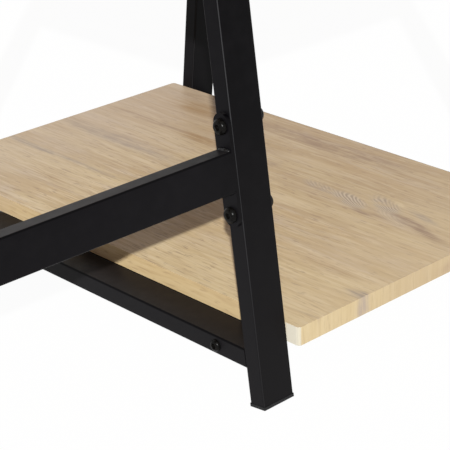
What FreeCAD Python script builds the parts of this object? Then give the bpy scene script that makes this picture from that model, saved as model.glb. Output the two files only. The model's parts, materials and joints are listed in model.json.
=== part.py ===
import FreeCAD, Part
import math
import os
import re
import Sketcher

# Writing desk on three leaning steel frames, with a two-shelf bay at its left end.
# X runs along the desk, the user sits on the -Y side, and the floor is at Z = 0.
# The origin is on the floor, under the middle of the desk top.

# Driving sizes in millimetres: name, value, meaning
SIZES = [
    ("desk_height", 750, "floor to the upper face of the desk top"),
    ("top_length", 1200, "desk top along X"),
    ("top_depth", 500, "desk top along Y"),
    ("board_thick", 15, "all three boards"),
    ("board_corner", 3, "rounding of a board's corners in plan"),
    ("edging_thick", 0.8, "edge band round a board"),
    ("foot_inset", 17.4, "desk top's long edge to the legs' outer face, at the floor"),
    ("leg_top_inset", 107.5, "desk top's long edge to the legs' outer face, under the top"),
    ("tube_wide", 30, "wide side of the frame tube"),
    ("tube_narrow", 15, "narrow side of the frame tube"),
    ("tube_wall", 1.2, "wall of the frame tube"),
    ("tube_corner", 1.5, "outer corner radius of the frame tube"),
    ("top_side_overhang", 20, "desk top beyond the end frames"),
    ("bay_width", 305, "between the two frames of the shelf bay"),
    ("shelf_side_gap", 0.3, "shelf to frame, each side"),
    ("shelf_overhang", 13, "shelf edge beyond the legs' outer face"),
    ("lower_shelf_height", 60, "floor to the lower shelf's upper face"),
    ("middle_shelf_height", 390, "floor to the middle shelf's upper face"),
    ("rail_inset", 30.5, "leg's inner face to the middle of a cross rail"),
    ("stretcher_height", 182.2, "floor to the middle of the stretcher"),
    ("plate_length", 83, "stretcher end plate along the leg"),
    ("plate_thick", 3, "stretcher end plate"),
    ("plate_hole_spacing", 64, "between the two bolts of an end plate"),
    ("bolt_diameter", 6, "machine screws"),
    ("frame_bolt_length", 40, "frame screws, under the head"),
    ("stretcher_bolt_length", 30, "stretcher screws, under the head"),
    ("frame_head_diameter", 9.5, "frame screws' button head"),
    ("frame_head_height", 3, "frame screws' button head"),
    ("stretcher_head_diameter", 12, "stretcher screws' button head"),
    ("stretcher_head_height", 4, "stretcher screws' button head"),
    ("head_flat_share", 0.53, "flat on top of a button head, of its diameter"),
    ("head_shoulder_share", 0.84, "a button head where its two slopes meet, of its diameter"),
    ("head_rise_share", 0.58, "a button head up to where its two slopes meet, of its height"),
    ("bolt_point", 0.6, "chamfer at the end of a machine screw"),
    ("socket_across", 4, "hexagon socket, across flats"),
    ("socket_depth", 2, "hexagon socket"),
    ("bolt_hole_gap", 0.3, "bolt to its clearance hole, all round"),
    ("thread_gap", 0.1, "screw to the thread or pilot that holds it, all round"),
    ("sleeve_head_diameter", 11, "sleeve nut's flat head, outside the leg"),
    ("sleeve_head_height", 2.5, "sleeve nut's flat head"),
    ("sleeve_head_chamfer", 0.8, "chamfer of that head's rim"),
    ("sleeve_diameter", 8, "sleeve nut's barrel, inside the leg"),
    ("sleeve_length", 12, "sleeve nut's barrel"),
    ("sleeve_hole_gap", 0.3, "barrel to its hole in the leg, all round"),
    ("end_nut_thick", 5, "tapped plate welded into a cross rail's end"),
    ("end_nut_gap", 0.2, "that plate to the tube's wall, all round"),
    ("wood_screw_diameter", 4, "screws into the boards"),
    ("wood_screw_length", 25, "screws into the boards, under the head"),
    ("wood_screw_tip", 3, "pointed end"),
    ("wood_screw_head_diameter", 8, "pan head, at its seat"),
    ("wood_screw_head_height", 2.5, "pan head"),
    ("wood_screw_head_flat", 5.6, "flat on top of the pan head, across"),
    ("wood_screw_hole_gap", 0.5, "wood screw to its clearance hole, all round"),
    ("rail_screw_inset", 55, "rail end to the middle of its wood screw"),
    ("top_screw_spacing", 100, "between the two wood screws of a top bar"),
    ("plug_flange_thick", 2.4, "foot plug below the tube"),
    ("plug_flange_proud", 0.3, "foot plug beyond the tube, all round"),
    ("plug_flange_corner", 0.8, "rounding of the foot plug's corners"),
    ("plug_depth", 16, "foot plug inside the tube"),
    ("plug_core_gap", 1.4, "plug core to the tube's wall"),
    ("plug_rib_gap", 0.1, "plug ribs to the tube's wall"),
    ("plug_rib_thick", 1.2, "one sealing rib of the plug"),
    ("plug_rib_pitch", 4, "between sealing ribs"),
    ("overrun", 5, "cutting shapes beyond what they cut"),
]

# Sizes that follow from the driving ones
DERIVED = [
    ("frame_height", "desk_height - board_thick"),
    ("frame_base_depth", "top_depth - 2 * foot_inset"),
    ("frame_top_depth", "top_depth - 2 * leg_top_inset"),
    ("lean_slope", "(frame_base_depth - frame_top_depth) / 2 / frame_height"),
    ("lean", "atan(lean_slope)"),
    ("leg_across", "tube_narrow / cos(lean)"),
    ("left_frame_x", "-top_length / 2 + top_side_overhang + tube_wide / 2"),
    ("middle_frame_x", "left_frame_x + bay_width + tube_wide"),
    ("right_frame_x", "top_length / 2 - top_side_overhang - tube_wide / 2"),
    ("bay_x", "(left_frame_x + middle_frame_x) / 2"),
    ("knee_x", "(middle_frame_x + right_frame_x) / 2"),
    ("knee_width", "right_frame_x - middle_frame_x - tube_wide"),
    ("top_bar_z", "frame_height - tube_narrow / 2"),
    ("middle_bar_z", "middle_shelf_height - board_thick - tube_narrow / 2"),
    ("lower_bar_z", "lower_shelf_height - board_thick - tube_narrow / 2"),
    ("top_bar_half", "frame_base_depth / 2 - top_bar_z * lean_slope - leg_across"),
    ("middle_bar_half", "frame_base_depth / 2 - middle_bar_z * lean_slope - leg_across"),
    ("lower_bar_half", "frame_base_depth / 2 - lower_bar_z * lean_slope - leg_across"),
    ("top_rail_y", "top_bar_half - rail_inset"),
    ("middle_rail_y", "middle_bar_half - rail_inset"),
    ("lower_rail_y", "lower_bar_half - rail_inset"),
    ("foot_z", "(tube_narrow / 2 + plug_flange_proud) * sin(lean)"),
    ("foot_y", "frame_base_depth / 2 - foot_z * lean_slope - leg_across / 2"),
    ("tube_foot_z", "foot_z + plug_flange_thick * cos(lean)"),
    ("tube_foot_y", "foot_y - plug_flange_thick * sin(lean)"),
    ("mitre_outer", "(frame_height - tube_foot_z - tube_narrow / 2 * sin(lean)) / cos(lean)"),
    ("mitre_inner", "(frame_height - tube_narrow - tube_foot_z + tube_narrow / 2 * sin(lean)) / cos(lean)"),
    ("mitre_slope", "(mitre_outer - mitre_inner) / tube_narrow"),
    ("stretcher_along", "(stretcher_height - tube_foot_z) / cos(lean)"),
    ("stretcher_y", "tube_foot_y - stretcher_along * sin(lean)"),
    ("plate_bolt_y", "plate_hole_spacing / 2 * sin(lean)"),
    ("plate_bolt_z", "plate_hole_spacing / 2 * cos(lean)"),
    ("shelf_width", "bay_width - 2 * shelf_side_gap"),
    ("lower_shelf_depth", "frame_base_depth - 2 * lower_shelf_height * lean_slope + 2 * shelf_overhang"),
    ("middle_shelf_depth", "frame_base_depth - 2 * middle_shelf_height * lean_slope + 2 * shelf_overhang"),
    ("tube_inner_wide", "tube_wide - 2 * tube_wall"),
    ("tube_inner_narrow", "tube_narrow - 2 * tube_wall"),
    ("tube_inner_corner", "tube_corner - tube_wall"),
    ("bolt_hole_radius", "bolt_diameter / 2 + bolt_hole_gap"),
    ("bolt_thread_radius", "bolt_diameter / 2 + thread_gap"),
    ("sleeve_hole_radius", "sleeve_diameter / 2 + sleeve_hole_gap"),
    ("wood_screw_hole_radius", "wood_screw_diameter / 2 + wood_screw_hole_gap"),
    ("wood_screw_pilot_radius", "wood_screw_diameter / 2 + thread_gap"),
    ("wood_screw_pilot_depth", "wood_screw_length - tube_narrow + thread_gap"),
]

FRAMES = ["left", "middle", "right"]
LEG_SIDES = {"rear": 1, "front": -1}
HEXAGON_SIDES = 6

# the frames that each pair of cross rails is bolted to
RAIL_FRAMES = {"lower": ["left", "middle"], "middle": ["left", "middle"], "top": ["middle", "right"]}
RAIL_LENGTHS = {"lower": "bay_width", "middle": "bay_width", "top": "knee_width"}
RAIL_MIDDLES = {"lower": "bay_x", "middle": "bay_x", "top": "knee_x"}
RAIL_NAMES = {"lower": "lower_shelf", "middle": "middle_shelf", "top": "desk_top"}

# each end of the stretcher: the frame it is bolted to, and its side of that frame's leg along X
STRETCHER_ENDS = {"left": ("middle", 1), "right": ("right", -1)}

doc = FreeCAD.newDocument("MetalFrameDesk")


def make_sheet():
    sheet = doc.addObject("Spreadsheet::Sheet", "Dims")
    row = 0
    for name, value, meaning in SIZES:
        row += 1
        sheet.set(f"A{row}", name)
        sheet.set(f"B{row}", str(value))
        sheet.setAlias(f"B{row}", name)
        sheet.set(f"C{row}", meaning)
    for name, formula in DERIVED:
        row += 1
        sheet.set(f"A{row}", name)
        sheet.set(f"B{row}", "=" + formula)
        sheet.setAlias(f"B{row}", name)
    doc.recompute()
    return sheet


dims = make_sheet()
aliases = {entry[0] for entry in SIZES} | {entry[0] for entry in DERIVED}


def bound(expression):
    """The expression with each alias written as a reference to the sheet."""
    def reference(match):
        word = match.group(0)
        return f"Dims.{word}" if word in aliases else word
    return re.sub(r"[a-z_]+", reference, str(expression))


def value(expression):
    return float(dims.evalExpression(bound(expression)))


# Sketches

def new_sketch(body, role, offset="0"):
    plane = next(f for f in body.Origin.OriginFeatures if f.Role == role)
    sketch = body.newObject("Sketcher::SketchObject", f"{body.Name}_sketch")
    sketch.AttachmentSupport = [(plane, "")]
    sketch.MapMode = "FlatFace"
    sketch.setExpression("AttachmentOffset.Base.z", bound(offset))
    return sketch


def constrain(sketch, kind, *arguments):
    """Adds a constraint whose last argument is an expression."""
    expression = arguments[-1]
    index = sketch.addConstraint(Sketcher.Constraint(kind, *arguments[:-1], value(expression)))
    sketch.setExpression(f"Constraints[{index}]", bound(expression))


def place_point(sketch, element, point, x, y):
    constrain(sketch, "DistanceX", element, point, x)
    constrain(sketch, "DistanceY", element, point, y)


def polygon(sketch, corners):
    """A closed outline through corners, each a pair of expressions."""
    points = [FreeCAD.Vector(value(x), value(y), 0) for x, y in corners]
    first = sketch.GeometryCount
    count = len(points)
    for i in range(count):
        sketch.addGeometry(Part.LineSegment(points[i], points[(i + 1) % count]), False)
    for i in range(count):
        sketch.addConstraint(Sketcher.Constraint("Coincident", first + i, 2, first + (i + 1) % count, 1))
        place_point(sketch, first + i, 1, *corners[i])


def hexagon(sketch, across):
    corners = []
    for i in range(HEXAGON_SIDES):
        angle = math.radians(360 / HEXAGON_SIDES * i)
        reach = f"{across} / 2 / cos({180 / HEXAGON_SIDES})"
        corners.append((f"{reach} * {math.cos(angle):.9f}", f"{reach} * {math.sin(angle):.9f}"))
    polygon(sketch, corners)


def chamfered_rectangle(sketch, width, height, chamfer):
    """A rectangle about the sketch's origin, its corners cut off at 45 degrees."""
    right, near_right = f"({width}) / 2", f"(({width}) / 2 - {chamfer})"
    upper, near_upper = f"({height}) / 2", f"(({height}) / 2 - {chamfer})"
    polygon(sketch, [(right, near_upper), (near_right, upper), (f"-{near_right}", upper),
                     (f"-{right}", near_upper), (f"-{right}", f"-{near_upper}"),
                     (f"-{near_right}", f"-{upper}"), (near_right, f"-{upper}"),
                     (right, f"-{near_upper}")])


def circle(sketch, x, y, radius):
    centre = FreeCAD.Vector(value(x), value(y), 0)
    element = sketch.addGeometry(Part.Circle(centre, FreeCAD.Vector(0, 0, 1), value(radius)), False)
    constrain(sketch, "Radius", element, radius)
    place_point(sketch, element, 3, x, y)


def add_arc(sketch, x, y, radius, angles):
    """An arc about (x, y) between two angles in degrees."""
    round_edge = Part.Circle(FreeCAD.Vector(x, y, 0), FreeCAD.Vector(0, 0, 1), radius)
    begin, end = (math.radians(angle) for angle in angles)
    return sketch.addGeometry(Part.ArcOfCircle(round_edge, begin, end), False)


def rounded_rectangle(sketch, width, height, corner):
    """A rectangle about the sketch's origin, with four equal round corners."""
    half_w, half_h, radius = value(width) / 2, value(height) / 2, value(corner)
    in_w, in_h = half_w - radius, half_h - radius
    first = sketch.GeometryCount
    runs = [((-in_w, -half_h), (in_w, -half_h)), ((half_w, -in_h), (half_w, in_h)),
            ((in_w, half_h), (-in_w, half_h)), ((-half_w, in_h), (-half_w, -in_h))]
    arcs = [(in_w, -in_h, (270, 360)), (in_w, in_h, (0, 90)),
            (-in_w, in_h, (90, 180)), (-in_w, -in_h, (180, 270))]
    for (start, end), (x, y, angles) in zip(runs, arcs):
        sketch.addGeometry(Part.LineSegment(FreeCAD.Vector(*start, 0), FreeCAD.Vector(*end, 0)), False)
        add_arc(sketch, x, y, radius, angles)
    for i in range(0, 8, 2):
        sketch.addConstraint(Sketcher.Constraint("Tangent", first + i, 2, first + i + 1, 1))
        sketch.addConstraint(Sketcher.Constraint("Tangent", first + i + 1, 2, first + (i + 2) % 8, 1))
    for i, kind in enumerate(["Horizontal", "Vertical", "Horizontal", "Vertical"]):
        sketch.addConstraint(Sketcher.Constraint(kind, first + 2 * i))
    for i in (3, 5, 7):
        sketch.addConstraint(Sketcher.Constraint("Equal", first + 1, first + i))
    constrain(sketch, "Radius", first + 1, corner)
    constrain(sketch, "DistanceY", first, 1, f"-({height}) / 2")
    constrain(sketch, "DistanceX", first + 2, 1, f"({width}) / 2")
    constrain(sketch, "DistanceY", first + 4, 1, f"({height}) / 2")
    constrain(sketch, "DistanceX", first + 6, 1, f"-({width}) / 2")


def obround(sketch, length, width):
    """A slot shape about the sketch's origin, long along the sketch's Y."""
    radius = value(width) / 2
    reach = (value(length) - value(width)) / 2
    top = add_arc(sketch, 0, reach, radius, (0, 180))
    left = sketch.addGeometry(Part.LineSegment(FreeCAD.Vector(-radius, reach, 0),
                                               FreeCAD.Vector(-radius, -reach, 0)), False)
    bottom = add_arc(sketch, 0, -reach, radius, (180, 360))
    right = sketch.addGeometry(Part.LineSegment(FreeCAD.Vector(radius, -reach, 0),
                                                FreeCAD.Vector(radius, reach, 0)), False)
    ring = [top, left, bottom, right]
    for i in range(4):
        sketch.addConstraint(Sketcher.Constraint("Tangent", ring[i], 2, ring[(i + 1) % 4], 1))
    sketch.addConstraint(Sketcher.Constraint("Vertical", left))
    sketch.addConstraint(Sketcher.Constraint("Vertical", right))
    constrain(sketch, "Radius", top, f"{width} / 2")
    place_point(sketch, top, 3, "0", f"({length} - {width}) / 2")
    constrain(sketch, "DistanceY", bottom, 3, f"-({length} - {width}) / 2")


# Solid features

def new_body(name):
    body = doc.addObject("PartDesign::Body", name)
    body.Label = name
    return body


def extrude(body, kind, sketch, length, symmetric=False, reverse=False):
    feature = body.newObject(f"PartDesign::{kind}", f"{body.Name}_{kind.lower()}")
    feature.Profile = sketch
    feature.SideType = "Symmetric" if symmetric else "One side"
    feature.Reversed = reverse
    feature.setExpression("Length", bound(length))
    sketch.Visibility = False
    return feature


def turn(body, kind, sketch):
    """A Revolution or Groove round the body's own Z axis."""
    feature = body.newObject(f"PartDesign::{kind}", f"{body.Name}_{kind.lower()}")
    feature.Profile = sketch
    axis = next(f for f in body.Origin.OriginFeatures if f.Role == "Z_Axis")
    feature.ReferenceAxis = (axis, [""])
    feature.Angle = 360
    sketch.Visibility = False
    return feature


def move(item, x, y, z, axis="0; 0; 1", angle="0"):
    """Binds the placement: a turn about an axis through the item's origin, then a move."""
    item.setExpression("Placement", bound(f"placement(vector({x}; {y}; {z}); "
                                          f"rotation(vector({axis}); {angle}))"))


def drill(body, role, places, radius, length, symmetric=True, reverse=False):
    """Round holes through the body, centred on the sketch plane unless symmetric is off."""
    sketch = new_sketch(body, role)
    for x, y in places:
        circle(sketch, x, y, radius)
    extrude(body, "Pocket", sketch, length, symmetric, reverse)


def tube(name, role, across, upright, length, symmetric=True):
    """A hollow tube, round-cornered outside, with its section on one of the body's origin planes."""
    body = new_body(name)
    sketch = new_sketch(body, role)
    rounded_rectangle(sketch, across, upright, "tube_corner")
    chamfered_rectangle(sketch, f"{across} - 2 * tube_wall", f"{upright} - 2 * tube_wall",
                        "tube_inner_corner")
    extrude(body, "Pad", sketch, length, symmetric=symmetric)
    return body


# The leaning frames

def frame_leg(frame, place):
    """A leg in its own frame: Z up the tube, Y across it, with the mitre for the top bar."""
    side = LEG_SIDES[place]
    body = tube(f"{frame}_frame_{place}_leg", "XY_Plane", "tube_wide", "tube_narrow",
                "mitre_outer + overrun", symmetric=False)
    # above this line through both mitre corners the tube is cut away
    outer = f"{side} * (tube_narrow / 2 + overrun)"
    inner = f"-{side} * (tube_narrow / 2 + overrun)" if side > 0 else "tube_narrow / 2 + overrun"
    cutter = new_sketch(body, "YZ_Plane")
    polygon(cutter, [(outer, "mitre_outer + overrun * mitre_slope"),
                     (inner, "mitre_inner - overrun * mitre_slope"),
                     (inner, "mitre_outer + 3 * overrun"),
                     (outer, "mitre_outer + 3 * overrun")])
    extrude(body, "Pocket", cutter, "tube_wide + 2 * overrun", symmetric=True)
    stretcher_sides = dict(STRETCHER_ENDS.values())
    if place == "rear" and frame in stretcher_sides:
        bolts = [("0", "stretcher_along - plate_hole_spacing / 2"),
                 ("0", "stretcher_along + plate_hole_spacing / 2")]
        drill(body, "YZ_Plane", bolts, "bolt_hole_radius", "tube_wide + 2 * overrun")
        # the wall away from the stretcher has the wider hole of the sleeve nut
        drill(body, "YZ_Plane", bolts, "sleeve_hole_radius", "tube_wide / 2 + overrun",
              symmetric=False, reverse=stretcher_sides[frame] < 0)
    move(body, f"{frame}_frame_x", f"{side} * tube_foot_y", "tube_foot_z", "1; 0; 0", f"{side} * lean")
    return body


def end_cuts(body, upper_y, lower_y):
    """Cuts both ends of a bar along the line from (upper_y, top) to (lower_y, bottom)."""
    rise = "(tube_narrow / 2 + overrun)"
    slope = f"(({upper_y}) - ({lower_y})) / tube_narrow"
    middle = f"(({upper_y}) + ({lower_y})) / 2"
    far = f"({middle} + tube_wide + 2 * overrun)"
    cutter = new_sketch(body, "YZ_Plane")
    for sign in ("", "-"):
        polygon(cutter, [(f"{sign}({middle} + {rise} * {slope})", rise),
                         (f"{sign}({middle} - {rise} * {slope})", f"-{rise}"),
                         (f"{sign}{far}", f"-{rise}"),
                         (f"{sign}{far}", rise)])
    extrude(body, "Pocket", cutter, "tube_wide + 2 * overrun", symmetric=True)


def frame_bar(frame, level):
    """A level bar between the legs' inner faces, or the mitred top bar."""
    half = f"{level}_bar_half"
    body = tube(f"{frame}_frame_{level}_bar", "XZ_Plane", "tube_wide", "tube_narrow",
                f"2 * ({half} + tube_wide)")
    if level == "top":
        end_cuts(body, "frame_top_depth / 2", f"{half} + tube_narrow / 2 * lean_slope")
        drill(body, "XY_Plane", [("0", "top_screw_spacing / 2"), ("0", "-top_screw_spacing / 2")],
              "wood_screw_hole_radius", "tube_narrow + 2 * overrun")
    else:
        end_cuts(body, f"{half} - tube_narrow / 2 * lean_slope", f"{half} + tube_narrow / 2 * lean_slope")
    if frame in RAIL_FRAMES[level]:
        drill(body, "YZ_Plane", [(f"{level}_rail_y", "0"), (f"-{level}_rail_y", "0")],
              "bolt_hole_radius", "tube_wide + 2 * overrun")
    move(body, f"{frame}_frame_x", "0", f"{level}_bar_z")
    return body


def foot_plug(frame, place):
    """A push-in plug: a flange under the tube, and a core with thin ribs inside it."""
    side = LEG_SIDES[place]
    body = new_body(f"{frame}_frame_{place}_foot")
    flange = new_sketch(body, "XY_Plane")
    rounded_rectangle(flange, "tube_wide + 2 * plug_flange_proud", "tube_narrow + 2 * plug_flange_proud",
                      "plug_flange_corner")
    extrude(body, "Pad", flange, "plug_flange_thick")
    core = new_sketch(body, "XY_Plane")
    chamfered_rectangle(core, "tube_inner_wide - 2 * plug_core_gap",
                        "tube_inner_narrow - 2 * plug_core_gap", "tube_inner_corner")
    extrude(body, "Pad", core, "plug_flange_thick + plug_depth")
    rib = new_sketch(body, "XY_Plane", "plug_flange_thick + plug_rib_pitch - plug_rib_thick")
    chamfered_rectangle(rib, "tube_inner_wide - 2 * plug_rib_gap",
                        "tube_inner_narrow - 2 * plug_rib_gap", "tube_inner_corner")
    ribs = extrude(body, "Pad", rib, "plug_rib_thick")
    pattern = body.newObject("PartDesign::LinearPattern", f"{body.Name}_ribs")
    pattern.Originals = [ribs]
    pattern.Direction = (rib, ["N_Axis"])
    pattern.Mode = "Spacing"
    pattern.setExpression("Offset", bound("plug_rib_pitch"))
    pattern.setExpression("Occurrences", bound("floor(plug_depth / plug_rib_pitch)"))
    body.Tip = pattern
    move(body, f"{frame}_frame_x", f"{side} * foot_y", "foot_z", "1; 0; 0", f"{side} * lean")
    return body


# Rails, stretcher and boards

def rail_screw_places(level):
    """Where a rail's wood screws stand along it, from its middle."""
    reach = f"({RAIL_LENGTHS[level]} / 2 - rail_screw_inset)"
    return [f"-{reach}", reach]


def cross_rail(level, place):
    side = LEG_SIDES[place]
    body = tube(f"{RAIL_NAMES[level]}_{place}_rail", "YZ_Plane", "tube_wide", "tube_narrow",
                RAIL_LENGTHS[level])
    drill(body, "XY_Plane", [(x, "0") for x in rail_screw_places(level)],
          "wood_screw_hole_radius", "tube_narrow + 2 * overrun")
    move(body, RAIL_MIDDLES[level], f"{side} * {level}_rail_y", f"{level}_bar_z")
    return body


def stretcher():
    """The rear stretcher leans with the legs, flush with their outer faces."""
    body = tube("rear_stretcher", "YZ_Plane", "tube_narrow", "tube_wide", "knee_width - 2 * plate_thick")
    move(body, "knee_x", "stretcher_y", "stretcher_height", "1; 0; 0", "lean")
    return body


def stretcher_plate(end):
    """A round-ended plate welded to the stretcher and bolted through the leg."""
    frame, side = STRETCHER_ENDS[end]
    body = new_body(f"stretcher_{end}_plate")
    outline = new_sketch(body, "YZ_Plane")
    obround(outline, "plate_length", "tube_narrow")
    for sign in ("", "-"):
        circle(outline, "0", f"{sign}plate_hole_spacing / 2", "bolt_hole_radius")
    extrude(body, "Pad", outline, "plate_thick", symmetric=True)
    move(body, f"{frame}_frame_x + {side} * (tube_wide + plate_thick) / 2", "stretcher_y",
         "stretcher_height", "1; 0; 0", "lean")
    return body


def board(name, length, depth, x, z, pilots):
    """A board and the band round its edges; pilots are drilled from below."""
    core = new_body(name)
    outline = new_sketch(core, "XY_Plane")
    rounded_rectangle(outline, f"{length} - 2 * edging_thick", f"{depth} - 2 * edging_thick",
                      "board_corner - edging_thick")
    extrude(core, "Pad", outline, "board_thick")
    holes = new_sketch(core, "XY_Plane")
    for along, across in pilots:
        circle(holes, along, across, "wood_screw_pilot_radius")
    extrude(core, "Pocket", holes, "wood_screw_pilot_depth", reverse=True)
    band = new_body(f"{name}_edging")
    ring = new_sketch(band, "XY_Plane")
    rounded_rectangle(ring, length, depth, "board_corner")
    rounded_rectangle(ring, f"{length} - 2 * edging_thick", f"{depth} - 2 * edging_thick",
                      "board_corner - edging_thick")
    extrude(band, "Pad", ring, "board_thick")
    for item in (core, band):
        move(item, x, "0", z)
    return [core, band]


# Fasteners: one model of each kind, then a group of placed copies

def turned(name, corners):
    """A body turned about its Z axis from an outline in its XZ plane."""
    body = new_body(name)
    profile = new_sketch(body, "XZ_Plane")
    polygon(profile, corners)
    turn(body, "Revolution", profile)
    return body


def machine_screw(use):
    """A button head above Z = 0 with a hexagon socket, and a shank below it."""
    shank, length, height = "bolt_diameter / 2", f"{use}_bolt_length", f"{use}_head_height"
    rim = f"{use}_head_diameter / 2"
    body = turned(f"{use}_screw_model",
                  [("0", height), (f"{rim} * head_flat_share", height),
                   (f"{rim} * head_shoulder_share", f"{height} * head_rise_share"), (rim, "0"), (shank, "0"),
                   (shank, f"-({length} - bolt_point)"), (f"{shank} - bolt_point", f"-{length}"),
                   ("0", f"-{length}")])
    socket = new_sketch(body, "XY_Plane", height)
    hexagon(socket, "socket_across")
    extrude(body, "Pocket", socket, "socket_depth")
    return body


def wood_screw():
    """A plain pan head above Z = 0, and a pointed shank below it."""
    shank = "wood_screw_diameter / 2"
    return turned("wood_screw_model", [("0", "wood_screw_head_height"),
                                       ("wood_screw_head_flat / 2", "wood_screw_head_height"),
                                       ("wood_screw_head_diameter / 2", "0"), (shank, "0"),
                                       (shank, "-(wood_screw_length - wood_screw_tip)"),
                                       ("0", "-wood_screw_length")])


def sleeve_nut():
    """A flat round head above Z = 0 with a hexagon socket, and a threaded barrel below it."""
    rim = "sleeve_head_diameter / 2"
    body = turned("sleeve_nut_model", [("0", "sleeve_head_height"),
                                       (f"{rim} - sleeve_head_chamfer", "sleeve_head_height"),
                                       (rim, "sleeve_head_height - sleeve_head_chamfer"),
                                       (rim, "0"), ("sleeve_diameter / 2", "0"),
                                       ("sleeve_diameter / 2", "-sleeve_length"),
                                       ("bolt_thread_radius", "-sleeve_length"),
                                       ("bolt_thread_radius", "0"), ("0", "0")])
    socket = new_sketch(body, "XY_Plane", "sleeve_head_height")
    hexagon(socket, "socket_across")
    extrude(body, "Pocket", socket, "socket_depth")
    return body


def end_nut():
    """A tapped plate, welded into the end of a cross rail."""
    body = new_body("end_nut_model")
    plate = new_sketch(body, "XY_Plane")
    chamfered_rectangle(plate, "tube_inner_narrow - 2 * end_nut_gap", "tube_inner_wide - 2 * end_nut_gap",
                        "tube_inner_corner")
    circle(plate, "0", "0", "bolt_thread_radius")
    extrude(body, "Pad", plate, "end_nut_thick")
    return body


# turns that point a model's +Z along the named direction
DIRECTIONS = {"+X": ("0; 1; 0", "90"), "-X": ("0; 1; 0", "-90"), "-Z": ("1; 0; 0", "180")}


def group(name, model, places):
    """One node of placed copies; a place is x, y, z and the direction of the model's +Z."""
    copies = []
    for i, (x, y, z, direction) in enumerate(places):
        copy = doc.addObject("App::Link", f"{name}_{i + 1}")
        copy.LinkedObject = model
        copy.LinkTransform = False
        axis, angle = DIRECTIONS[direction]
        move(copy, x, y, z, axis, angle)
        copies.append(copy)
    compound = doc.addObject("Part::Compound", name)
    compound.Label = name
    compound.Links = copies
    return compound


def both_sides(level):
    return [f"{side} * {level}_rail_y" for side in LEG_SIDES.values()]


def frame_screw_places():
    """Through a bar into a cross rail's end, with the head on the far face of the bar."""
    places = []
    for level, (first, second) in RAIL_FRAMES.items():
        for y in both_sides(level):
            places.append((f"{first}_frame_x - tube_wide / 2", y, f"{level}_bar_z", "-X"))
            places.append((f"{second}_frame_x + tube_wide / 2", y, f"{level}_bar_z", "+X"))
    return places


def end_nut_places():
    """Flush with both ends of every cross rail."""
    places = []
    for level, (first, second) in RAIL_FRAMES.items():
        for y in both_sides(level):
            places.append((f"{first}_frame_x + tube_wide / 2", y, f"{level}_bar_z", "+X"))
            places.append((f"{second}_frame_x - tube_wide / 2", y, f"{level}_bar_z", "-X"))
    return places


def stretcher_bolt_places(offset, left_way, right_way):
    """Both bolts of both end plates; offset is from the leg's middle towards the knee space."""
    places = []
    for sign in ("", "-"):
        y = f"stretcher_y - {sign}plate_bolt_y"
        z = f"stretcher_height + {sign}plate_bolt_z"
        places.append((f"middle_frame_x + {offset}", y, z, left_way))
        places.append((f"right_frame_x - ({offset})", y, z, right_way))
    return places


def rail_wood_screw_places(level):
    """From below through a rail into its board."""
    places = []
    for y in both_sides(level):
        for along in rail_screw_places(level):
            places.append((f"{RAIL_MIDDLES[level]} + {along}", y, f"{level}_bar_z - tube_narrow / 2", "-Z"))
    return places


def top_bar_wood_screw_places():
    places = []
    for frame in FRAMES:
        for sign in ("", "-"):
            places.append((f"{frame}_frame_x", f"{sign}top_screw_spacing / 2",
                           "top_bar_z - tube_narrow / 2", "-Z"))
    return places


def shelf(name, level):
    pilots = [(along, y) for y in both_sides(level) for along in rail_screw_places(level)]
    return board(name, "shelf_width", f"{level}_shelf_depth", "bay_x", f"{level}_shelf_height - board_thick",
                 pilots)


def desk_top():
    pilots = [(x, y) for x, y, z, way in rail_wood_screw_places("top") + top_bar_wood_screw_places()]
    return board("desk_top", "top_length", "top_depth", "0", "frame_height", pilots)


def make_parts():
    parts = desk_top() + shelf("middle_shelf", "middle") + shelf("lower_shelf", "lower")
    for frame in FRAMES:
        for place in LEG_SIDES:
            parts.append(frame_leg(frame, place))
            parts.append(foot_plug(frame, place))
        parts.append(frame_bar(frame, "top"))
        parts.append(frame_bar(frame, "lower"))
    parts.append(frame_bar("left", "middle"))
    parts.append(frame_bar("middle", "middle"))
    for level in RAIL_FRAMES:
        for place in LEG_SIDES:
            parts.append(cross_rail(level, place))
    parts.append(stretcher())
    parts.append(stretcher_plate("left"))
    parts.append(stretcher_plate("right"))
    wood = wood_screw()
    parts.append(group("frame_screws", machine_screw("frame"), frame_screw_places()))
    parts.append(group("stretcher_screws", machine_screw("stretcher"),
                       stretcher_bolt_places("tube_wide / 2 + plate_thick", "+X", "-X")))
    parts.append(group("stretcher_nuts", sleeve_nut(),
                       stretcher_bolt_places("-tube_wide / 2", "-X", "+X")))
    parts.append(group("rail_end_nuts", end_nut(), end_nut_places()))
    parts.append(group("shelf_screws", wood,
                       rail_wood_screw_places("lower") + rail_wood_screw_places("middle")))
    parts.append(group("desk_top_screws", wood,
                       rail_wood_screw_places("top") + top_bar_wood_screw_places()))
    return parts


def check(parts):
    for item in doc.Objects:
        if "Invalid" in item.State or "Error" in item.State:
            raise RuntimeError(f"{item.Name} failed: {item.State}")
    for part in parts:
        if part.Shape.isNull() or not part.Shape.isValid() or not part.Shape.Solids:
            raise RuntimeError(f"{part.Label} has no valid solid")


def export(parts):
    os.makedirs("parts", exist_ok=True)
    for part in parts:
        part.Shape.exportStep(f"parts/{part.Label}.step")
        box = part.Shape.BoundBox
        print(f"{part.Label}: {len(part.Shape.Solids)} solids, {part.Shape.Volume / 1000:.1f} cm3, "
              f"z {box.ZMin:.2f} to {box.ZMax:.2f}")


all_parts = make_parts()
doc.recompute()
check(all_parts)
export(all_parts)
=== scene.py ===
import json
import math
import random

import bmesh
import bpy
from mathutils import Matrix, Vector


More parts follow.
